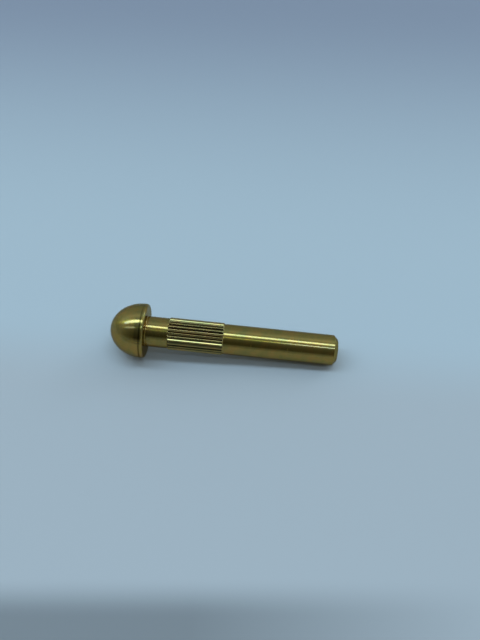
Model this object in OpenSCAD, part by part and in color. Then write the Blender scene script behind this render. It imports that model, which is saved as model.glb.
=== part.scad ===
// Hinge pin turned in one piece from round brass bar. From its crown to its tip it has a domed
// head with a short straight land and a flat seat, a plain neck, a band of straight knurl that
// grips the hinge's leaf, and a plain shank that the other leaf turns on.
// It lies along X as it comes to rest, on the rim of its head and the edge of its tip.

/* [Shank] */
// Diameter of the plain shank and of the neck
shank_d = 8; // [6:0.1:9]
// Length of the pin from the seat under its head to its tip
under_head_l = 50; // [38:0.5:90]
// Width of the 45 degree chamfer round the tip
tip_chamfer = 1; // [0.3:0.1:2]

/* [Head] */
// Diameter of the head
head_d = 14.3; // [12:0.1:20]
// Height of the head, from its seat to the crown of its dome
head_h = 9.5; // [6:0.1:14]
// Height of the straight land between the dome and the seat
land_h = 1.1; // [0.8:0.1:3]
// Radius of the rounding between the land and the seat
seat_round = 0.6; // [0.1:0.05:0.7]
// Radius of the fillet between the seat and the neck
neck_fillet = 0.2; // [0.1:0.05:0.6]

/* [Knurl] */
// Length of the neck, from the seat to the full height of the knurl's teeth
neck_l = 6; // [3:0.5:12]
// Length of the knurl over which its teeth keep their full height
knurl_l = 14; // [5:0.5:20]
// Number of teeth round the knurl
knurl_teeth = 27; // [20:1:36]
// Height of the tooth crests above the shank
knurl_rise = 0.22; // [0.1:0.01:0.3]
// Depth of the tooth roots below the shank
knurl_sink = 0.08; // [0.05:0.01:0.4]
// Width of the flat along each crest
crest_flat = 0.3; // [0.1:0.05:0.4]
// Turn of the first tooth about the pin, from the side that lies lowest
knurl_turn = 5.5; // [0:0.5:18]

/* [Hidden] */

// Steps along the dome's curve, and along the quarter arcs of the rounding and the fillet
dome_steps = 32;
arc_steps = 6;
// Facets round the pin in the preview
around = 96;
// Lead of a crest's 45 degree bevel over the ramp that closes the grooves at the knurl's ends
bevel_lead = 0.05;
// Depth of the turned waist under the tooth roots, inside the knurl
waist_depth = 0.15;

shank_r = shank_d / 2;
head_r = head_d / 2;
dome_h = head_h - land_h;
teeth_start = neck_l - knurl_rise;
teeth_end = neck_l + knurl_l + knurl_rise;
crest_r = shank_r + knurl_rise;
root_r = shank_r - knurl_sink;
waist_r = root_r - waist_depth;
waist_ramp = shank_r - waist_r;
waist_start = teeth_start + bevel_lead;
waist_end = teeth_end - bevel_lead;
chamfer_start = under_head_l - tip_chamfer;

// The pin rests on two places along its lowest line: the rounding of the seat's rim and the
// outer edge of the tip's chamfer. The line that touches both sets how far the pin is tilted.
round_centre_r = head_r - seat_round;
rest_run = chamfer_start + seat_round;
rest_drop = round_centre_r - shank_r;
rest_tilt = atan2(rest_drop, rest_run) + asin(seat_round / norm([rest_run, rest_drop]));
seat_height = seat_round + round_centre_r * cos(rest_tilt) - seat_round * sin(rest_tilt);

// Reach of the tilted pin on either side of its seat, which centres it over the origin
crown_reach = land_h * cos(rest_tilt) + norm([dome_h * cos(rest_tilt), head_r * sin(rest_tilt)]);
tip_reach = under_head_l * cos(rest_tilt) + (shank_r - tip_chamfer) * sin(rest_tilt);

// Points of an arc in the plane of the profile
function arc_points(centre, radius, from, to) = [
    for (i = [0 : arc_steps])
        let (angle = from + (to - from) * i / arc_steps)
        centre + radius * [cos(angle), sin(angle)]
];

// Points of the dome's quarter ellipse, from the crown to the land
function dome_points() = [
    for (i = [0 : dome_steps])
        let (angle = 90 * i / dome_steps)
        [head_r * sin(angle), -land_h - dome_h * cos(angle)]
];

// Three corners to each tooth: the two edges of its crest and the root of the groove beside it
function tooth_points() = [
    for (i = [0 : knurl_teeth - 1])
        let (crest = 360 * i / knurl_teeth,
             half_flat = asin(crest_flat / 2 / crest_r),
             root = crest + 180 / knurl_teeth)
        each [crest_r * [cos(crest - half_flat), sin(crest - half_flat)],
              crest_r * [cos(crest + half_flat), sin(crest + half_flat)],
              root_r * [cos(root), sin(root)]]
];

// Head, neck, waist and shank as one outline turned about the pin's own line
module turned_blank() {
    rotate_extrude($fn = around)
        polygon(concat(
            dome_points(),
            arc_points([round_centre_r, -seat_round], seat_round, 0, 90),
            arc_points([shank_r + neck_fillet, neck_fillet], neck_fillet, 270, 180),
            [[shank_r, waist_start],
             [waist_r, waist_start + waist_ramp],
             [waist_r, waist_end - waist_ramp],
             [shank_r, waist_end],
             [shank_r, chamfer_start],
             [shank_r - tip_chamfer, under_head_l],
             [0, under_head_l]]));
}

// Space that the knurl fills: a round bar whose two ends are bevelled at 45 degrees
module knurl_envelope() {
    start = teeth_start - knurl_sink;
    end = teeth_end + knurl_sink;
    rotate_extrude($fn = around)
        polygon([[0, start], [root_r, start], [crest_r, neck_l],
                 [crest_r, neck_l + knurl_l], [root_r, end], [0, end]]);
}

// Straight teeth, cut to the envelope so that they run out into the neck and the shank
module knurl_band() {
    intersection() {
        translate([0, 0, teeth_start - knurl_sink])
            linear_extrude(height = teeth_end - teeth_start + 2 * knurl_sink)
                rotate(knurl_turn)
                    polygon(tooth_points());
        knurl_envelope();
    }
}

module hinge_pin() {
    color("#a98f3f")
        translate([(crown_reach - tip_reach) / 2, 0, seat_height])
            rotate([0, 90 + rest_tilt, 0]) {
                turned_blank();
                knurl_band();
            }
}

hinge_pin();
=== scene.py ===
"""Looks of a hinge pin turned in one piece from brass bar, lying on a pale tabletop.

The pin rests on the rim of its head and the edge of its tip. Its form is one outline turned round
the pin's own line, with the teeth of a straight knurl raised on one stretch of it. The sizes of the
pin and the camera are in millimetres and become metres where they are used. Those of the tabletop
and the lights are in metres.
"""

import logging
import math
from dataclasses import dataclass, field
from enum import Enum

import bpy
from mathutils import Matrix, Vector


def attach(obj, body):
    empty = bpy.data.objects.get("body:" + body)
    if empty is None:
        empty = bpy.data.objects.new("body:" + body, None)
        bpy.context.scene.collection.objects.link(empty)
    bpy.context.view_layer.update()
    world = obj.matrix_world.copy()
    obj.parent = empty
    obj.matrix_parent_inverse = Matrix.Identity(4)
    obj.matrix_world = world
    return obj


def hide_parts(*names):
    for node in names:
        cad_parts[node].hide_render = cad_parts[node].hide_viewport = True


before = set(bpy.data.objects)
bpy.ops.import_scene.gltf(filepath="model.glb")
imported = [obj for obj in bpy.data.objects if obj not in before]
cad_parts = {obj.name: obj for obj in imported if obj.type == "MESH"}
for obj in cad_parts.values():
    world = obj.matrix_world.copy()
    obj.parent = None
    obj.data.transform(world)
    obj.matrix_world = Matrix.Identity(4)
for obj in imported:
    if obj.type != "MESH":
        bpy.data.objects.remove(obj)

LOG = logging.getLogger("hinge_pin")
MM = 0.001
PIN_NODE = "hinge_pin"
PIN_BODY = "root"
# Places of a Mix node's colour sockets, whose names its other sockets share
MIX_A, MIX_B, MIX_RESULT = 6, 7, 2


def linear(hex_colour: str) -> tuple[float, float, float, float]:
    """Turns an sRGB colour into the linear one that Blender's sockets take.

    Args:
        hex_colour: The colour as "#rrggbb".

    Returns:
        Red, green, blue and an alpha of 1.
    """
    levels = [int(hex_colour[i : i + 2], 16) / 255 for i in (1, 3, 5)]
    # The curve of the sRGB standard
    red, green, blue = [
        level / 12.92 if level <= 0.04045 else ((level + 0.055) / 1.055) ** 2.4
        for level in levels
    ]
    return red, green, blue, 1.0


def dimmed(hex_colour: str, share: float) -> tuple[float, float, float, float]:
    """Gives a colour at a share of its brightness.

    Args:
        hex_colour: The colour as "#rrggbb".
        share: The share of its brightness to keep.

    Returns:
        Linear red, green, blue and an alpha of 1.
    """
    red, green, blue, alpha = linear(hex_colour)
    return red * share, green * share, blue * share, alpha


def add_node(tree: bpy.types.NodeTree, kind: str, links: dict[str | int, object] | None = None,
             **settings: object) -> bpy.types.Node:
    """Adds one node to a tree, sets it and wires its inputs.

    Args:
        tree: The node tree that takes the node.
        kind: The node's type name.
        links: For each input, by name or number, the output socket that feeds it or its value.
        **settings: The node's own settings.

    Returns:
        The new node.
    """
    node = tree.nodes.new(kind)
    for name, value in settings.items():
        setattr(node, name, value)
    for name, value in (links or {}).items():
        if isinstance(value, bpy.types.NodeSocket):
            tree.links.new(value, node.inputs[name])
        else:
            node.inputs[name].default_value = value
    return node


class Surface(Enum):
    """How a stretch of the pin's outline was finished."""

    TURNED = 0.0
    SMOOTH = 1.0


@dataclass(frozen=True)
class Station:
    """One point of the pin's outline: its place along the pin, its radius and its finish."""

    along: float
    radius: float
    surface: Surface = Surface.TURNED


def arc(centre: tuple[float, float], radius: float, start: float, end: float,
        steps: int) -> list[Station]:
    """Gives the stations of a quarter arc or less in the outline.

    Args:
        centre: The arc's centre, along the pin and out from its line.
        radius: The arc's radius.
        start: The angle of the first station, in degrees from straight out towards the tip.
        end: The angle of the last station.
        steps: How many steps the arc takes.

    Returns:
        The stations, from start to end.
    """
    angles = [math.radians(start + (end - start) * i / steps) for i in range(steps + 1)]
    return [Station(centre[0] + radius * math.sin(a), centre[1] + radius * math.cos(a)) for a in angles]


@dataclass(frozen=True)
class Head:
    """Domed head, from its crown to the flat seat under it."""

    diameter: float = 14.3
    height: float = 9.5
    land: float = 1.1
    rim_round: float = 0.6
    # Width of the dome's edge that the last cut of the land left as smooth as the land
    smooth_edge: float = 1.0
    dome_steps: int = 40
    rim_steps: int = 6

    @property
    def radius(self) -> float:
        """Radius of the land."""
        return self.diameter / 2

    @property
    def dome_height(self) -> float:
        """Height of the dome above the land."""
        return self.height - self.land

    def stations(self) -> list[Station]:
        """Gives the outline of the head.

        Returns:
            Stations from the crown over the dome, the land and the rim to the edge of the seat.
        """
        dome = []
        for i in range(self.dome_steps + 1):
            angle = math.radians(90 * i / self.dome_steps)
            along = -self.land - self.dome_height * math.cos(angle)
            finish = Surface.TURNED if along < -self.land - self.smooth_edge else Surface.SMOOTH
            dome.append(Station(along, self.radius * math.sin(angle), finish))
        land_middle = Station(-(self.land + self.rim_round) / 2, self.radius, Surface.SMOOTH)
        rim_centre = (-self.rim_round, self.radius - self.rim_round)
        return [*dome, land_middle, *arc(rim_centre, self.rim_round, 0, 90, self.rim_steps)]


@dataclass(frozen=True)
class Knurl:
    """Straight knurl: a band of teeth that grips the bore of the hinge's leaf."""

    neck: float = 6.0
    length: float = 14.0
    teeth: int = 27
    rise: float = 0.22
    sink: float = 0.08
    crest_flat: float = 0.3
    turn_deg: float = 5.5
    bevel_lead: float = 0.05
    waist_depth: float = 0.15
    # Share of the tooth's depth over which its crest and its root are rounded
    crest_rounding: float = 0.04
    columns_per_tooth: int = 24
    # Steps along the band, and the finer ones at its ends, some of which lie outside the waist
    step: float = 1.0
    end_step: float = 0.08
    outer_steps: int = 2

    @property
    def teeth_start(self) -> float:
        """Distance from the seat to where the teeth rise out of the neck."""
        return self.neck - self.rise

    @property
    def teeth_end(self) -> float:
        """Distance from the seat to where the teeth have run out into the shank."""
        return self.neck + self.length + self.rise

    def stations(self, shank_radius: float) -> list[Station]:
        """Gives the outline of the turned waist that lies under the teeth.

        Args:
            shank_radius: Radius of the neck and the shank on either side.

        Returns:
            Stations from a little before the band to a little after it, close together at its ends.
        """
        deepest = self.sink + self.waist_depth
        waist_start = self.teeth_start + self.bevel_lead
        waist_end = self.teeth_end - self.bevel_lead
        start = waist_start - self.outer_steps * self.end_step
        end = waist_end + self.outer_steps * self.end_step
        fine = round((self.rise + deepest) / self.end_step) + self.outer_steps + 1
        near = [start + self.end_step * i for i in range(fine)]
        far = [end - self.end_step * i for i in reversed(range(fine))]
        count = round((far[0] - near[-1]) / self.step)
        middle = [near[-1] + (far[0] - near[-1]) * i / count for i in range(1, count)]
        found = []
        for along in [*near, *middle, *far]:
            depth = min(along - waist_start, waist_end - along, deepest)
            found.append(Station(along, shank_radius - max(depth, 0)))
        return found


# Sums that give each point of the turned grid its station, its turn about the pin and its radius.
# Each is an operation and its terms: sizes by name, numbers, or sums that stand above it.
TOOTH_SUMS = {
    "Row": ("ADD", "Columns", 1),
    "Rows before": ("DIVIDE", "Index", "Row"),
    "Station": ("FLOOR", "Rows before"),
    "Row start": ("MULTIPLY", "Station", "Row"),
    "Column": ("SUBTRACT", "Index", "Row start"),
    "Way round": ("DIVIDE", "Column", "Columns"),
    "Turn": ("MULTIPLY", "Way round", 2 * math.pi),
    # Distance from the middle of the nearest crest, from 0 there to 1 at a root
    "From lowest": ("SUBTRACT", "Turn", math.pi),
    "Phase": ("ADD", "From lowest", "Knurl turn"),
    "Whole turns": ("DIVIDE", "Phase", 2 * math.pi),
    "Pitches": ("MULTIPLY", "Whole turns", "Teeth"),
    "Half off crest": ("PINGPONG", "Pitches", 0.5),
    "Off crest": ("MULTIPLY", "Half off crest", 2),
    # Share of a flank's height that lies above the point, rounded at the crest and the root
    "Past crest": ("SUBTRACT", "Off crest", "Crest share"),
    "Flank share": ("SUBTRACT", 1, "Crest share"),
    "Flank": ("DIVIDE", "Past crest", "Flank share"),
    "Below crest": ("SMOOTH_MAX", "Flank", 0, "Crest rounding"),
    "Eased": ("SMOOTH_MIN", "Below crest", 1, "Crest rounding"),
    "Tooth height": ("SUBTRACT", "Crest radius", "Root radius"),
    "Drop": ("MULTIPLY", "Eased", "Tooth height"),
    "Tooth": ("SUBTRACT", "Crest radius", "Drop"),
    # Bevels that run the teeth out at the two ends of the band
    "From start": ("SUBTRACT", "Along", "Band start"),
    "To end": ("SUBTRACT", "Band end", "Along"),
    "Nearest end": ("MINIMUM", "From start", "To end"),
    "Ramp": ("ADD", "Root radius", "Nearest end"),
    "Knurled": ("MINIMUM", "Tooth", "Ramp"),
    "Full radius": ("MAXIMUM", "Radius", "Knurled"),
    "Raised": ("GREATER_THAN", "Knurled", "Radius"),
    "Groove": ("MULTIPLY", "Raised", "Eased"),
    "Sine": ("SINE", "Turn"),
    "Cosine": ("COSINE", "Turn"),
    "Sideways": ("MULTIPLY", "Full radius", "Sine"),
    "Upwards": ("MULTIPLY", "Full radius", "Cosine"),
}


@dataclass(frozen=True)
class Shank:
    """Plain shank that the other leaf turns on, with the neck that carries on from it."""

    diameter: float = 8.0
    under_head: float = 50.0
    chamfer: float = 1.0
    neck_fillet: float = 0.2
    edge_break: float = 0.06
    step: float = 2.0
    fillet_steps: int = 6
    edge_steps: int = 2
    # Distance from an edge at which a station keeps the shading of a long plain stretch flat
    guard: float = 0.08
    # Rings on the flat end of the tip, as shares of its radius, down to the pin's own line
    end_rings: tuple[float, ...] = (0.5, 0.125, 0.0)

    @property
    def radius(self) -> float:
        """Radius of the shank."""
        return self.diameter / 2

    @property
    def chamfer_start(self) -> float:
        """Distance from the seat to the chamfer."""
        return self.under_head - self.chamfer

    def stretch(self, start: float, end: float) -> list[Station]:
        """Gives a plain cylindrical stretch between two places along the pin.

        Args:
            start: Where the stretch starts.
            end: Where it ends.

        Returns:
            Its stations, with one close to each end.
        """
        first, last = start + self.guard, end - self.guard
        count = max(1, round((last - first) / self.step))
        return [Station(first + (last - first) * i / count, self.radius) for i in range(count + 1)]

    def seat_and_fillet(self, rim_inner: float) -> list[Station]:
        """Gives the flat seat under the head and the fillet between it and the neck.

        Args:
            rim_inner: Radius at which the flat seat starts, inside the rounded rim.

        Returns:
            Stations from the rim to the start of the neck.
        """
        outer = self.radius + self.neck_fillet
        seat = [Station(0, rim_inner - self.guard), Station(0, (rim_inner + outer) / 2)]
        seat.append(Station(0, outer + self.guard))
        return [*seat, *arc((self.neck_fillet, outer), self.neck_fillet, 270, 180, self.fillet_steps)]

    def tip(self) -> list[Station]:
        """Gives the chamfer and the flat end of the tip, closed at the pin's own line.

        Returns:
            Stations from the chamfer's first edge to the middle of the end.
        """
        # The outline turns by this many degrees at each of the chamfer's two edges
        turn = 45
        inward = self.edge_break / math.cos(math.radians(turn / 2))
        corners = [(self.chamfer_start, self.radius), (self.under_head, self.radius - self.chamfer)]
        found = []
        for i, (along, radius) in enumerate(corners):
            start = turn * i
            middle = math.radians(start + turn / 2)
            centre = (along - inward * math.sin(middle), radius - inward * math.cos(middle))
            found += arc(centre, self.edge_break, start, start + turn, self.edge_steps)
        end_radius = found[-1].radius
        inner = [end_radius - self.guard, *(end_radius * share for share in self.end_rings)]
        return found + [Station(self.under_head, radius) for radius in inner]


@dataclass(frozen=True)
class RestPose:
    """How the pin lies on its own: on the rim of its head and the edge of its tip."""

    tilt: float
    seat: Vector

    @classmethod
    def of(cls, head: Head, shank: Shank) -> "RestPose":
        """Works out the pose from the pin's sizes.

        Args:
            head: The pin's head.
            shank: The pin's shank.

        Returns:
            The tilt in radians, and the place of the middle of the seat in metres.
        """
        centre_radius = head.radius - head.rim_round
        run = shank.chamfer_start + head.rim_round
        drop = centre_radius - shank.radius
        tilt = math.atan2(drop, run) + math.asin(head.rim_round / math.hypot(run, drop))
        cos, sin = math.cos(tilt), math.sin(tilt)
        height = head.rim_round + centre_radius * cos - head.rim_round * sin
        crown_reach = head.land * cos + math.hypot(head.dome_height * cos, head.radius * sin)
        tip_reach = shank.under_head * cos + (shank.radius - shank.chamfer) * sin
        return cls(tilt, Vector(((crown_reach - tip_reach) / 2, 0, height)) * MM)


@dataclass(frozen=True)
class TurnedBrass:
    """Free-cutting brass bar, turned and left bare.

    The real one is a bright metal with fine tool marks round it, so lamps show on it as clear
    lines along the pin. The land and the rolled teeth are smoother and mirror more sharply, and
    handling has left faint olive and warmer patches. The knurl's roots are darkened by dirt together
    with painted shade of the deep grooves, and a painted line of shade runs round the edge of the land.
    """

    colour: str = "#a07e24"
    film_colour: str = "#8b7722"
    warm_colour: str = "#a67b22"
    # Dark tone of dirt, which also paints the shade in the knurl's roots and the shade line at the land
    dirt_and_shade_colour: str = "#342a10"
    # Tint at a glancing look: the dulled surface doesn't whiten towards its edges as a mirror does
    glancing_tint: str = "#b8ab78"
    roughness: float = 0.25
    smooth_roughness: float = 0.14
    # The knurling wheel burnished the teeth's flanks
    rolled_roughness: float = 0.09
    # The marks run round the pin, so they spread a reflection along it and hardly across it. The
    # shader is given the way round, so it is turned by a quarter
    anisotropy: float = 0.9
    spread_turn: float = 0.25
    # Thin film of zinc oxide: a lamp's line shows whiter in it than in the metal alone, and most so
    # on the burnished teeth
    oxide_weight: float = 0.28
    rolled_oxide_weight: float = 0.4
    oxide_ior: float = 2.4
    oxide_roughness: float = 0.12
    # Feed of the turning tool: the real one is under 0.1 mm, drawn three times as coarse to show
    mark_spacing: float = 0.3
    mark_height: float = 0.001
    marks_detail: float = 2.0
    # Levels of the marks' pattern between which they shade the colour, and its brightness there
    marks_range: tuple[float, float] = (0.25, 0.75)
    marks_shade: tuple[float, float] = (0.92, 1.06)
    # Width of the lines that the knurling wheel leaves along its teeth, about one to each crest, and
    # how many of them follow one another in a millimetre
    rolled_spacing: float = 0.25
    rolled_run: float = 0.3
    # Size of the patches that handling leaves
    film_patch: float = 3.0
    film_detail: float = 3.0
    # Levels of the patches' pattern at which the olive film and the warmer tone set in and are full
    film_range: tuple[float, float] = (0.44, 0.64)
    warm_range: tuple[float, float] = (0.48, 0.32)
    # How much each finer scale of the marks and the patches shows
    pattern_roughness: float = 0.6
    # How far the patches and the marks make the roughness vary
    film_dulling: float = 0.06
    marks_dulling: float = 0.08
    # Share of a groove's depth at which the dark tone of dirt and painted shade sets in, and at which it
    # is full
    root_range: tuple[float, float] = (0.5, 0.9)
    # Painted shade: a dark line round the head where the land's last cut ends, standing in for the shade
    # of a small step there that the outline doesn't have: its middle along the pin, half its width, the
    # width of its soft edge and how dark it is painted
    cut_line: float = -0.98
    cut_half_width: float = 0.12
    cut_edge: float = 0.15
    cut_line_shade: float = 0.7
    # Places across the pin, from in front of its middle to behind it, over which that painted line grows
    # fainter, and the share of its darkness that is gone behind
    shade_line_fading: tuple[float, float] = (-2.5, 2.5)
    shade_line_fading_share: float = 0.8

    def material(self, pose: RestPose) -> bpy.types.Material:
        """Builds the brass as nodes.

        Args:
            pose: The pin's pose, from which its own line is found.

        Returns:
            The material.
        """
        made = bpy.data.materials.new("turned_brass")
        made.use_nodes = True
        tree = made.node_tree
        tree.nodes.clear()
        place = add_node(tree, "ShaderNodeTexCoord").outputs["Object"]
        own = add_node(tree, "ShaderNodeMapping", {
            "Vector": place, "Location": pose.seat, "Rotation": (0, pose.tilt, 0),
            "Scale": (MM, MM, MM),
        }, vector_type="TEXTURE").outputs["Vector"]
        outline = add_node(tree, "ShaderNodeAttribute", attribute_name="outline").outputs["Fac"]
        smooth = add_node(tree, "ShaderNodeAttribute", attribute_name="smooth").outputs["Fac"]
        rolled = add_node(tree, "ShaderNodeAttribute", attribute_name="rolled").outputs["Fac"]
        groove = add_node(tree, "ShaderNodeAttribute", attribute_name="groove").outputs["Fac"]
        marks = self.marks(tree, own, outline, rolled)
        film = add_node(tree, "ShaderNodeTexNoise", {
            "Vector": own, "Scale": 1 / self.film_patch, "Detail": self.film_detail,
            "Roughness": self.pattern_roughness,
        }).outputs["Fac"]
        # Dirt and painted shade: the knurl's roots and a line at the land's edge are drawn darker
        dirt_and_shade = self.dirt_and_shade(tree, groove, own)
        colour = self.tone(tree, film, marks, dirt_and_shade)
        roughness = self.gloss(tree, smooth, rolled, film, marks)
        bump = self.relief(tree, marks)
        line = (math.cos(pose.tilt), 0.0, -math.sin(pose.tilt))
        normal = add_node(tree, "ShaderNodeNewGeometry").outputs["Normal"]
        tangent = add_node(tree, "ShaderNodeVectorMath", {
            0: line, 1: normal,
        }, operation="CROSS_PRODUCT").outputs["Vector"]
        directed = add_node(tree, "ShaderNodeMapRange", {
            "Value": rolled, "To Min": self.anisotropy, "To Max": 0.0,
        }).outputs["Result"]
        clean_oxide = add_node(tree, "ShaderNodeMapRange", {
            "Value": rolled, "To Min": self.oxide_weight, "To Max": self.rolled_oxide_weight,
        }).outputs["Result"]
        # The oxide's whiter lines are left out where dirt and painted shade darken the colour
        oxide = add_node(tree, "ShaderNodeMapRange", {
            "Value": dirt_and_shade, "To Min": clean_oxide, "To Max": 0.0,
        }).outputs["Result"]
        shader = add_node(tree, "ShaderNodeBsdfPrincipled", {
            "Base Color": colour, "Metallic": 1.0, "Roughness": roughness, "Normal": bump,
            "Anisotropic": directed, "Anisotropic Rotation": self.spread_turn, "Tangent": tangent,
            "Specular Tint": linear(self.glancing_tint),
            "Coat Weight": oxide, "Coat IOR": self.oxide_ior, "Coat Roughness": self.oxide_roughness,
        })
        add_node(tree, "ShaderNodeOutputMaterial", {"Surface": shader.outputs["BSDF"]})
        return made

    def marks(self, tree: bpy.types.NodeTree, own: bpy.types.NodeSocket,
              outline: bpy.types.NodeSocket, rolled: bpy.types.NodeSocket) -> bpy.types.NodeSocket:
        """Draws the tool marks: rings round the pin, or lines along it on the knurl.

        Args:
            tree: The material's tree.
            own: Place in the pin's own frame, in millimetres, with its line along X.
            outline: Distance along the pin's outline, in millimetres.
            rolled: 1 on the knurl and 0 elsewhere.

        Returns:
            The marks' strength, from 0 to 1.
        """
        apart = add_node(tree, "ShaderNodeSeparateXYZ", {"Vector": own}).outputs
        across = add_node(tree, "ShaderNodeCombineXYZ", {"X": 0.0, "Y": apart["Y"], "Z": apart["Z"]})
        around = add_node(tree, "ShaderNodeVectorMath", {
            0: across.outputs["Vector"],
        }, operation="NORMALIZE")
        side = add_node(tree, "ShaderNodeSeparateXYZ", {"Vector": around.outputs["Vector"]}).outputs
        feed = add_node(tree, "ShaderNodeMath", {
            0: outline, 1: 1 / self.mark_spacing,
        }, operation="MULTIPLY")
        ring_place = add_node(tree, "ShaderNodeCombineXYZ", {
            "X": feed.outputs["Value"], "Y": side["Y"], "Z": side["Z"],
        })
        line_place = add_node(tree, "ShaderNodeMapping", {
            "Vector": own, "Scale": (self.rolled_run, 1 / self.rolled_spacing, 1 / self.rolled_spacing),
        })
        rings, lines = [
            add_node(tree, "ShaderNodeTexNoise", {
                "Vector": where.outputs["Vector"], "Scale": 1.0, "Detail": self.marks_detail,
                "Roughness": self.pattern_roughness,
            }).outputs["Fac"]
            for where in (ring_place, line_place)
        ]
        return add_node(tree, "ShaderNodeMix", {
            "Factor": rolled, "A": rings, "B": lines,
        }).outputs["Result"]

    def dirt_and_shade(self, tree: bpy.types.NodeTree, groove: bpy.types.NodeSocket,
             own: bpy.types.NodeSocket) -> bpy.types.NodeSocket:
        """Finds where the colour is darkened: dirt with painted shade in the roots of the teeth, and
        painted shade on the head's cut line.

        Args:
            tree: The material's tree.
            groove: 1 at the roots of the knurl's teeth, falling to 0 at their crests.
            own: Place in the pin's own frame, in millimetres, with its line along X.

        Returns:
            The darkening by dirt and painted shade, from 0 on bare metal to 1.
        """
        # Roots of the teeth: dirt together with painted shade of the deep grooves
        root = add_node(tree, "ShaderNodeMapRange", {
            "Value": groove, "From Min": self.root_range[0], "From Max": self.root_range[1],
        })
        apart = add_node(tree, "ShaderNodeSeparateXYZ", {"Vector": own}).outputs
        # Painted shade: a dark line at the land's edge, fainter behind the pin's middle
        off = add_node(tree, "ShaderNodeMath", {0: apart["X"], 1: self.cut_line}, operation="SUBTRACT")
        away = add_node(tree, "ShaderNodeMath", {0: off.outputs["Value"]}, operation="ABSOLUTE")
        cut = add_node(tree, "ShaderNodeMapRange", {
            "Value": away.outputs["Value"], "From Min": self.cut_half_width,
            "From Max": self.cut_half_width + self.cut_edge, "To Min": self.cut_line_shade, "To Max": 0.0,
        })
        # Share of the painted line that is kept, falling from in front of the pin to behind it
        left = add_node(tree, "ShaderNodeMapRange", {
            "Value": apart["Y"], "From Min": self.shade_line_fading[0], "From Max": self.shade_line_fading[1],
            "To Min": 1.0, "To Max": 1 - self.shade_line_fading_share,
        })
        shade_line_kept = add_node(tree, "ShaderNodeMath", {
            0: cut.outputs["Result"], 1: left.outputs["Result"],
        }, operation="MULTIPLY")
        return add_node(tree, "ShaderNodeMath", {
            0: root.outputs["Result"], 1: shade_line_kept.outputs["Value"],
        }, operation="MAXIMUM").outputs["Value"]

    def tone(self, tree: bpy.types.NodeTree, film: bpy.types.NodeSocket,
             marks: bpy.types.NodeSocket, dirt_and_shade: bpy.types.NodeSocket) -> bpy.types.NodeSocket:
        """Mixes the brass's colour with its film, its warmer patches, and the dark tone of dirt and
        painted shade.

        Args:
            tree: The material's tree.
            film: Pattern of the patches that handling leaves, around 0.5.
            marks: The tool marks, around 0.5.
            dirt_and_shade: Where dirt and painted shade darken the colour, from 0 to 1.

        Returns:
            The colour.
        """
        filmed, warmed = [
            add_node(tree, "ShaderNodeMapRange", {
                "Value": film, "From Min": start, "From Max": full,
            }).outputs["Result"]
            for start, full in (self.film_range, self.warm_range)
        ]
        mixed = linear(self.colour)
        # The last mix is the dark tone of dirt and painted shade
        for amount, colour in (
            (filmed, self.film_colour), (warmed, self.warm_colour), (dirt_and_shade, self.dirt_and_shade_colour),
        ):
            mixed = add_node(tree, "ShaderNodeMix", {
                "Factor": amount, MIX_A: mixed, MIX_B: linear(colour),
            }, data_type="RGBA").outputs[MIX_RESULT]
        shade = add_node(tree, "ShaderNodeMapRange", {
            "Value": marks, "From Min": self.marks_range[0], "From Max": self.marks_range[1],
            "To Min": self.marks_shade[0], "To Max": self.marks_shade[1],
        })
        return add_node(tree, "ShaderNodeVectorMath", {
            0: mixed, "Scale": shade.outputs["Result"],
        }, operation="SCALE").outputs["Vector"]

    def gloss(self, tree: bpy.types.NodeTree, smooth: bpy.types.NodeSocket,
              rolled: bpy.types.NodeSocket, film: bpy.types.NodeSocket,
              marks: bpy.types.NodeSocket) -> bpy.types.NodeSocket:
        """Works out the roughness: high on turned stretches, low on the land and on the teeth.

        Args:
            tree: The material's tree.
            smooth: 1 on the land and the edge of the dome, and 0 elsewhere.
            rolled: 1 on the knurl and 0 elsewhere.
            film: Pattern of the patches that handling leaves, around 0.5.
            marks: The tool marks, around 0.5.

        Returns:
            The roughness.
        """
        turned = add_node(tree, "ShaderNodeMapRange", {
            "Value": smooth, "To Min": self.roughness, "To Max": self.smooth_roughness,
        })
        level = add_node(tree, "ShaderNodeMapRange", {
            "Value": rolled, "To Min": turned.outputs["Result"], "To Max": self.rolled_roughness,
        })
        dulled, streaked = [
            add_node(tree, "ShaderNodeMath", {
                0: pattern, 1: amount, 2: -amount / 2,
            }, operation="MULTIPLY_ADD").outputs["Value"]
            for pattern, amount in ((film, self.film_dulling), (marks, self.marks_dulling))
        ]
        both = add_node(tree, "ShaderNodeMath", {0: dulled, 1: streaked}, operation="ADD")
        return add_node(tree, "ShaderNodeMath", {
            0: level.outputs["Result"], 1: both.outputs["Value"],
        }, operation="ADD").outputs["Value"]

    def relief(self, tree: bpy.types.NodeTree, marks: bpy.types.NodeSocket) -> bpy.types.NodeSocket:
        """Raises the tool marks as bump.

        Args:
            tree: The material's tree.
            marks: The tool marks.

        Returns:
            The bumped normal.
        """
        return add_node(tree, "ShaderNodeBump", {
            "Height": marks, "Distance": self.mark_height * MM, "Strength": 1.0,
        }).outputs["Normal"]


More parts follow.
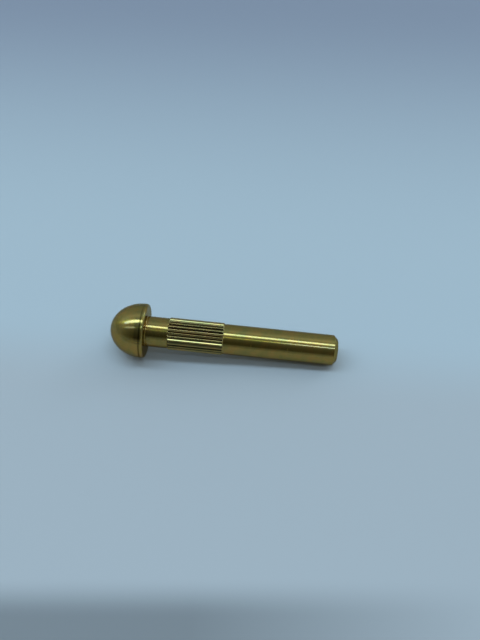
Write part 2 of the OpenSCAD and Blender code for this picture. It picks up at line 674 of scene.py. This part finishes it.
@dataclass
class TurnedPin:
    """The whole pin as one piece, built from its head, knurl and shank."""

    head: Head = field(default_factory=Head)
    knurl: Knurl = field(default_factory=Knurl)
    shank: Shank = field(default_factory=Shank)
    finish: TurnedBrass = field(default_factory=TurnedBrass)
    # Angle between two faces above which their edge stays crisp
    crisp_deg: float = 40.0
    # Distance within which the seam and the two ends are welded
    weld: float = 0.0003

    def stations(self) -> list[Station]:
        """Gives the pin's whole outline.

        Returns:
            Stations from the crown of its head to the middle of its tip.
        """
        band = self.knurl.stations(self.shank.radius)
        fillet_end = self.shank.neck_fillet
        neck = self.shank.stretch(fillet_end, band[0].along)
        plain = self.shank.stretch(band[-1].along, self.shank.chamfer_start)
        seat = self.shank.seat_and_fillet(self.head.radius - self.head.rim_round)
        return [*self.head.stations(), *seat, *neck, *band, *plain, *self.shank.tip()]

    def outline_object(self) -> bpy.types.Object:
        """Makes the outline as a chain of points that the nodes turn into the pin.

        Returns:
            An object whose points hold the place along the pin, the radius and the finish.
        """
        stations = self.stations()
        points = [(s.along * MM, s.radius * MM, 0) for s in stations]
        links = [(i, i + 1) for i in range(len(points) - 1)]
        mesh = bpy.data.meshes.new("pin_outline")
        mesh.from_pydata(points, links, [])
        run = 0.0
        outline = mesh.attributes.new("outline", "FLOAT", "POINT")
        smooth = mesh.attributes.new("smooth", "FLOAT", "POINT")
        for i, station in enumerate(stations):
            if i:
                before = stations[i - 1]
                run += math.hypot(station.along - before.along, station.radius - before.radius)
            outline.data[i].value = run
            smooth.data[i].value = station.surface.value
        made = bpy.data.objects.new("turned_pin_outline", mesh)
        bpy.context.scene.collection.objects.link(made)
        return made

    def turning_tree(self) -> bpy.types.NodeTree:
        """Builds the nodes that turn the outline round the pin's line and raise the teeth.

        Returns:
            The tree, with an input for each size that it needs.
        """
        tree = bpy.data.node_groups.new("turn_and_knurl", "GeometryNodeTree")
        tree.interface.new_socket("Outline", in_out="INPUT", socket_type="NodeSocketGeometry")
        sizes = {
            "Teeth": "Int", "Columns": "Int", "Crest radius": "Float", "Root radius": "Float",
            "Crest share": "Float", "Crest rounding": "Float", "Band start": "Float",
            "Band end": "Float", "Knurl turn": "Float", "Weld": "Float", "Seat": "Vector",
            "Tilt": "Rotation", "Finish": "Material",
        }
        for name, kind in sizes.items():
            tree.interface.new_socket(name, in_out="INPUT", socket_type=f"NodeSocket{kind}")
        tree.interface.new_socket("Pin", in_out="OUTPUT", socket_type="NodeSocketGeometry")
        given = add_node(tree, "NodeGroupInput").outputs
        count = add_node(tree, "GeometryNodeAttributeDomainSize", {"Geometry": given["Outline"]})
        position = add_node(tree, "GeometryNodeInputPosition").outputs["Position"]
        there = add_node(tree, "GeometryNodeSampleIndex", {
            "Geometry": given["Outline"], "Value": position,
        }, data_type="FLOAT_VECTOR")
        profile = add_node(tree, "ShaderNodeSeparateXYZ", {"Vector": there.outputs["Value"]}).outputs
        found = {name: given[name] for name in sizes}
        found["Index"] = add_node(tree, "GeometryNodeInputIndex").outputs["Index"]
        found["Along"] = profile["X"]
        found["Radius"] = profile["Y"]
        for name, (operation, *terms) in TOOTH_SUMS.items():
            links = {i: found.get(term, term) for i, term in enumerate(terms)}
            found[name] = add_node(tree, "ShaderNodeMath", links, operation=operation).outputs["Value"]
        tree.links.new(found["Station"], there.inputs["Index"])
        grid = add_node(tree, "GeometryNodeMeshGrid", {
            "Vertices X": count.outputs["Point Count"], "Vertices Y": found["Row"],
        }).outputs["Mesh"]
        place = add_node(tree, "ShaderNodeCombineXYZ", {
            "X": found["Along"], "Y": found["Sideways"], "Z": found["Upwards"],
        })
        shape = add_node(tree, "GeometryNodeSetPosition", {
            "Geometry": grid, "Position": place.outputs["Vector"],
        }).outputs["Geometry"]
        kept = {"rolled": found["Raised"], "groove": found["Groove"]}
        for name in ("outline", "smooth"):
            stored = add_node(tree, "GeometryNodeInputNamedAttribute", {
                "Name": name,
            }, data_type="FLOAT").outputs["Attribute"]
            kept[name] = add_node(tree, "GeometryNodeSampleIndex", {
                "Geometry": given["Outline"], "Value": stored, "Index": found["Station"],
            }, data_type="FLOAT").outputs["Value"]
        for name, value in kept.items():
            shape = add_node(tree, "GeometryNodeStoreNamedAttribute", {
                "Geometry": shape, "Name": name, "Value": value,
            }, data_type="FLOAT", domain="POINT").outputs["Geometry"]
        welded = add_node(tree, "GeometryNodeMergeByDistance", {
            "Geometry": shape, "Distance": given["Weld"],
        })
        laid = add_node(tree, "GeometryNodeTransform", {
            "Geometry": welded.outputs["Geometry"], "Translation": given["Seat"],
            "Rotation": given["Tilt"],
        })
        shaded = add_node(tree, "GeometryNodeSetShadeSmooth", {"Geometry": laid.outputs["Geometry"]})
        real = add_node(tree, "GeometryNodeRealizeInstances", {"Geometry": shaded.outputs["Geometry"]})
        finished = add_node(tree, "GeometryNodeSetMaterial", {
            "Geometry": real.outputs["Geometry"], "Material": given["Finish"],
        })
        add_node(tree, "NodeGroupOutput", {"Pin": finished.outputs["Geometry"]})
        return tree

    def sizes(self, pose: RestPose, brass: bpy.types.Material) -> dict[str, object]:
        """Gives the value of each of the tree's inputs.

        Args:
            pose: How the pin lies.
            brass: The pin's finish.

        Returns:
            The values by the inputs' names, with lengths in metres.
        """
        crest = self.shank.radius + self.knurl.rise
        root = self.shank.radius - self.knurl.sink
        return {
            "Teeth": self.knurl.teeth,
            "Columns": self.knurl.teeth * self.knurl.columns_per_tooth,
            "Crest radius": crest * MM,
            "Root radius": root * MM,
            "Crest share": self.knurl.crest_flat * self.knurl.teeth / (2 * math.pi * crest),
            "Crest rounding": self.knurl.crest_rounding,
            "Band start": (self.knurl.teeth_start - self.knurl.sink) * MM,
            "Band end": (self.knurl.teeth_end + self.knurl.sink) * MM,
            "Knurl turn": math.radians(self.knurl.turn_deg),
            "Weld": self.weld * MM,
            "Seat": pose.seat,
            "Tilt": (0, pose.tilt, 0),
            "Finish": brass,
        }

    def build(self, pose: RestPose) -> bpy.types.Object:
        """Builds the pin as a plain mesh in its resting place.

        Args:
            pose: How the pin lies.

        Returns:
            The finished piece, at the origin and untransformed.
        """
        source = self.outline_object()
        modifier = source.modifiers.new("turning", "NODES")
        modifier.node_group = self.turning_tree()
        values = self.sizes(pose, self.finish.material(pose))
        for socket in modifier.node_group.interface.items_tree:
            if socket.in_out == "INPUT" and socket.name in values:
                modifier[socket.identifier] = values[socket.name]
        graph = bpy.context.evaluated_depsgraph_get()
        mesh = bpy.data.meshes.new_from_object(source.evaluated_get(graph))
        bpy.data.objects.remove(source)
        mesh.name = "turned_pin"
        mesh.set_sharp_from_angle(angle=math.radians(self.crisp_deg))
        pin = bpy.data.objects.new("turned_pin", mesh)
        bpy.context.scene.collection.objects.link(pin)
        return pin

    def ride(self, pin: bpy.types.Object) -> None:
        """Lets the piece stand for the CAD pin on its body.

        Args:
            pin: The finished piece.
        """
        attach(pin, PIN_BODY)
        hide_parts(PIN_NODE)


@dataclass(frozen=True)
class Tabletop:
    """Painted board that the pin lies on: smooth, pale and matt, so it takes a soft shadow."""

    colour: str = "#c9c9c3"
    # Painted light: the near and far tones are the one paint drawn darker where less light falls
    near_shaded_colour: str = "#c6bfb7"
    far_shaded_colour: str = "#9f9ca1"
    size: float = 6.0
    roughness: float = 0.6
    # Places in metres, behind the pin where positive: where the near tone gives way to the board's own,
    # and where that falls off into the far one. Both tones are painted light: the one paint drawn darker
    # in front of the pin and far behind it, where less light falls
    rise: tuple[float, float] = (-0.015, 0.01)
    fall: tuple[float, float] = (0.035, 0.235)
    # Painted shadow: a soft shade painted into the board's colour across its near edge: the places over
    # which it sets in and ends, how much it slants back to the right, its share of the light and the
    # places over which it fades away
    shade: tuple[float, float] = (-0.059, -0.067)
    shade_end: tuple[float, float] = (-0.085, -0.22)
    shade_slant: float = 0.08
    shade_share: float = 0.5
    shade_fade: tuple[float, float] = (0.0, 0.066)

    def build(self) -> bpy.types.Object:
        """Builds the tabletop as part of the stage.

        Returns:
            The tabletop.
        """
        half = self.size / 2
        mesh = bpy.data.meshes.new("tabletop")
        corners = [(-half, -half, 0), (half, -half, 0), (half, half, 0), (-half, half, 0)]
        mesh.from_pydata(corners, [], [(0, 1, 2, 3)])
        mesh.materials.append(self.material())
        board = bpy.data.objects.new("tabletop", mesh)
        bpy.context.scene.collection.objects.link(board)
        return board

    def material(self) -> bpy.types.Material:
        """Builds the board's matt paint as nodes, with painted shade and a painted shadow in its colour.

        Returns:
            The material.
        """
        made = bpy.data.materials.new("matt_paint")
        made.use_nodes = True
        tree = made.node_tree
        tree.nodes.clear()
        place = add_node(tree, "ShaderNodeTexCoord").outputs["Object"]
        apart = add_node(tree, "ShaderNodeSeparateXYZ", {"Vector": place}).outputs
        slanted = add_node(tree, "ShaderNodeMath", {
            0: apart["X"], 1: -self.shade_slant, 2: apart["Y"],
        }, operation="MULTIPLY_ADD").outputs["Value"]
        steps = {}
        for name, where, (start, end) in (
            ("rise", apart["Y"], self.rise), ("fall", apart["Y"], self.fall),
            ("shade", slanted, self.shade), ("shade_end", slanted, self.shade_end),
        ):
            steps[name] = add_node(tree, "ShaderNodeMapRange", {
                "Value": where, "From Min": start, "From Max": end,
            }, interpolation_type="SMOOTHSTEP").outputs["Result"]
        # Painted light: the paint is drawn darker in front of the pin and falls off darker far behind it
        board = linear(self.near_shaded_colour)
        for step, colour in (("rise", self.colour), ("fall", self.far_shaded_colour)):
            board = add_node(tree, "ShaderNodeMix", {
                "Factor": steps[step], MIX_A: board, MIX_B: linear(colour),
            }, data_type="RGBA").outputs[MIX_RESULT]
        # Painted shadow: a soft shade across the near edge, deepest at the left, darkens the paint
        depth = add_node(tree, "ShaderNodeMapRange", {
            "Value": apart["X"], "From Min": self.shade_fade[0], "From Max": self.shade_fade[1],
            "To Min": self.shade_share, "To Max": 0.0,
        })
        band = add_node(tree, "ShaderNodeMath", {
            0: steps["shade"], 1: steps["shade_end"],
        }, operation="SUBTRACT")
        shaded = add_node(tree, "ShaderNodeMath", {
            0: band.outputs["Value"], 1: depth.outputs["Result"],
        }, operation="MULTIPLY")
        light = add_node(tree, "ShaderNodeMath", {
            0: 1.0, 1: shaded.outputs["Value"],
        }, operation="SUBTRACT")
        paint = add_node(tree, "ShaderNodeVectorMath", {
            0: board, "Scale": light.outputs["Value"],
        }, operation="SCALE").outputs["Vector"]
        shader = add_node(tree, "ShaderNodeBsdfPrincipled", {
            "Base Color": paint, "Roughness": self.roughness,
        })
        add_node(tree, "ShaderNodeOutputMaterial", {"Surface": shader.outputs["BSDF"]})
        return made


@dataclass(frozen=True)
class SoftLight:
    """Soft light over the studio: a lit rectangle whose length is parallel to the table's edge.

    It stands at the distance given, moved to the right by shift, and faces the line of the pin.
    """

    name: str
    lean_deg: float
    shift: float
    length: float
    width: float
    radiance: float
    distance: float = 1.0
    colour: str = "#b2daff"

    def build(self) -> bpy.types.Object:
        """Builds the light, leaning from straight above towards the front by lean_deg.

        Returns:
            The lamp.
        """
        light = bpy.data.lights.new(self.name, "AREA")
        light.shape = "RECTANGLE"
        light.size = self.length
        light.size_y = self.width
        light.energy = self.radiance * math.pi * self.length * self.width
        light.color = linear(self.colour)[:3]
        lamp = bpy.data.objects.new(self.name, light)
        lean = math.radians(self.lean_deg)
        lamp.location = (self.shift, -self.distance * math.sin(lean), self.distance * math.cos(lean))
        lamp.rotation_euler = (lean, 0, 0)
        bpy.context.scene.collection.objects.link(lamp)
        return lamp


@dataclass(frozen=True)
class Room:
    """The room round the table: pale behind and overhead, and dark where the viewer stands."""

    colour: str = "#c6e6ff"
    viewer_colour: str = "#d4f2fa"
    side_colour: str = "#e0e4dc"
    # Brightness that the room's two sides add. How far aside it starts and is full is a share of the
    # way from straight ahead to straight along the pin, counted from a little left of the viewer
    side_level: float = 0.28
    side_start: float = 0.1
    side_full: float = 0.95
    viewer_aside: float = -0.15
    # Lean from straight above towards the front, in degrees, and the room's brightness there
    levels: tuple[tuple[float, float], ...] = (
        (-95, 0.48), (-50, 0.48), (-36, 0.6), (-25, 0.9), (-14, 0.6), (14, 0.4),
        (36, 0.15), (50, 0.085), (62, 0.055), (74, 0.036), (88, 0.32),
    )
    # The room's one brightness at its far left and right, and how far aside that sets in and is full
    end_level: float = 0.4
    end_start: float = 0.8
    end_full: float = 0.98
    # Leans between which the viewer stands before the room
    viewer_leans: tuple[float, float] = (36, 80)

    def build(self) -> None:
        """Builds the world's light as nodes."""
        world = bpy.data.worlds.new("room")
        world.use_nodes = True
        bpy.context.scene.world = world
        tree = world.node_tree
        tree.nodes.clear()
        way = add_node(tree, "ShaderNodeTexCoord").outputs["Generated"]
        apart = add_node(tree, "ShaderNodeSeparateXYZ", {"Vector": way}).outputs
        front = add_node(tree, "ShaderNodeMath", {0: apart["Y"], 1: -1.0}, operation="MULTIPLY")
        lean = add_node(tree, "ShaderNodeMath", {
            0: front.outputs["Value"], 1: apart["Z"],
        }, operation="ARCTAN2")
        share = add_node(tree, "ShaderNodeMapRange", {
            "Value": lean.outputs["Value"], "From Min": -math.pi, "From Max": math.pi,
        })
        ramp = add_node(tree, "ShaderNodeValToRGB", {"Fac": share.outputs["Result"]})
        start, end = self.viewer_leans
        stops = ramp.color_ramp.elements
        while len(stops) > 1:
            stops.remove(stops[-1])
        for i, (degrees, level) in enumerate(self.levels):
            place = (degrees + 180) / 360
            stop = stops[0] if i == 0 else stops.new(place)
            stop.position = place
            stop.color = dimmed(self.viewer_colour if start < degrees < end else self.colour, level)
        off = add_node(tree, "ShaderNodeMath", {
            0: apart["X"], 1: self.viewer_aside,
        }, operation="SUBTRACT")
        aside = add_node(tree, "ShaderNodeMath", {0: off.outputs["Value"]}, operation="ABSOLUTE")
        beside = add_node(tree, "ShaderNodeMapRange", {
            "Value": aside.outputs["Value"], "From Min": self.side_start, "From Max": self.side_full,
        }, interpolation_type="SMOOTHSTEP")
        lit = add_node(tree, "ShaderNodeMix", {
            "Factor": beside.outputs["Result"], MIX_A: ramp.outputs["Color"],
            MIX_B: dimmed(self.side_colour, self.side_level),
        }, data_type="RGBA", blend_type="ADD").outputs[MIX_RESULT]
        across = add_node(tree, "ShaderNodeMath", {0: apart["X"]}, operation="ABSOLUTE")
        end_on = add_node(tree, "ShaderNodeMapRange", {
            "Value": across.outputs["Value"], "From Min": self.end_start, "From Max": self.end_full,
        }, interpolation_type="SMOOTHSTEP")
        whole = add_node(tree, "ShaderNodeMix", {
            "Factor": end_on.outputs["Result"], MIX_A: lit,
            MIX_B: dimmed(self.colour, self.end_level),
        }, data_type="RGBA").outputs[MIX_RESULT]
        light = add_node(tree, "ShaderNodeBackground", {"Color": whole, "Strength": 1.0})
        add_node(tree, "ShaderNodeOutputWorld", {"Surface": light.outputs["Background"]})


@dataclass(frozen=True)
class TableCamera:
    """Hand-held view from the front, looking down on the pin from close by."""

    place: tuple[float, float, float] = (12.43, -101.01, 129.95)
    up_from_down_deg: float = 41.11
    turn_deg: float = 4.64
    focal_length: float = 34.31
    sensor: float = 36.0
    # Nothing nearer than this is drawn
    nearest: float = 10.0

    def build(self) -> bpy.types.Object:
        """Builds the camera and makes it the scene's own.

        Returns:
            The camera.
        """
        data = bpy.data.cameras.new("table_camera")
        data.sensor_width = self.sensor
        data.lens = self.focal_length
        data.clip_start = self.nearest * MM
        camera = bpy.data.objects.new("table_camera", data)
        camera.location = Vector(self.place) * MM
        camera.rotation_euler = (math.radians(self.up_from_down_deg), 0, math.radians(self.turn_deg))
        bpy.context.scene.collection.objects.link(camera)
        bpy.context.scene.camera = camera
        return camera


def build_studio() -> None:
    """Builds the camera, the tabletop, the room and its lights."""
    TableCamera().build()
    Tabletop().build()
    Room().build()
    lights = [
        SoftLight("left_overhead_strip", lean_deg=0.9, shift=-0.74, length=1.08, width=0.2, radiance=7.0),
        SoftLight("right_overhead_strip", lean_deg=0.2, shift=0.15, length=0.7, width=0.175, radiance=6.5),
        SoftLight("left_front_strip", lean_deg=28, shift=-0.78, length=0.85, width=0.1, radiance=2.2),
        SoftLight("right_front_strip", lean_deg=25, shift=0.4, length=0.5, width=0.08, radiance=8.4),
        SoftLight("right_rear_window", lean_deg=-49, shift=0.95, length=0.5, width=0.5, radiance=2.8),
    ]
    for light in lights:
        light.build()
        LOG.info("%s leans %.0f degrees to the front", light.name, light.lean_deg)
    bpy.context.scene.view_settings.view_transform = "Standard"


def main() -> None:
    """Builds the studio and the pin."""
    logging.basicConfig(level=logging.INFO, format="%(message)s")
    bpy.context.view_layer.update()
    build_studio()
    turned = TurnedPin()
    pose = RestPose.of(turned.head, turned.shank)
    pin = turned.build(pose)
    turned.ride(pin)
    faces, tilt = len(pin.data.polygons), math.degrees(pose.tilt)
    LOG.info("%s: %d faces, tilt %.3f degrees", pin.name, faces, tilt)


if __name__ == "__main__":
    main()
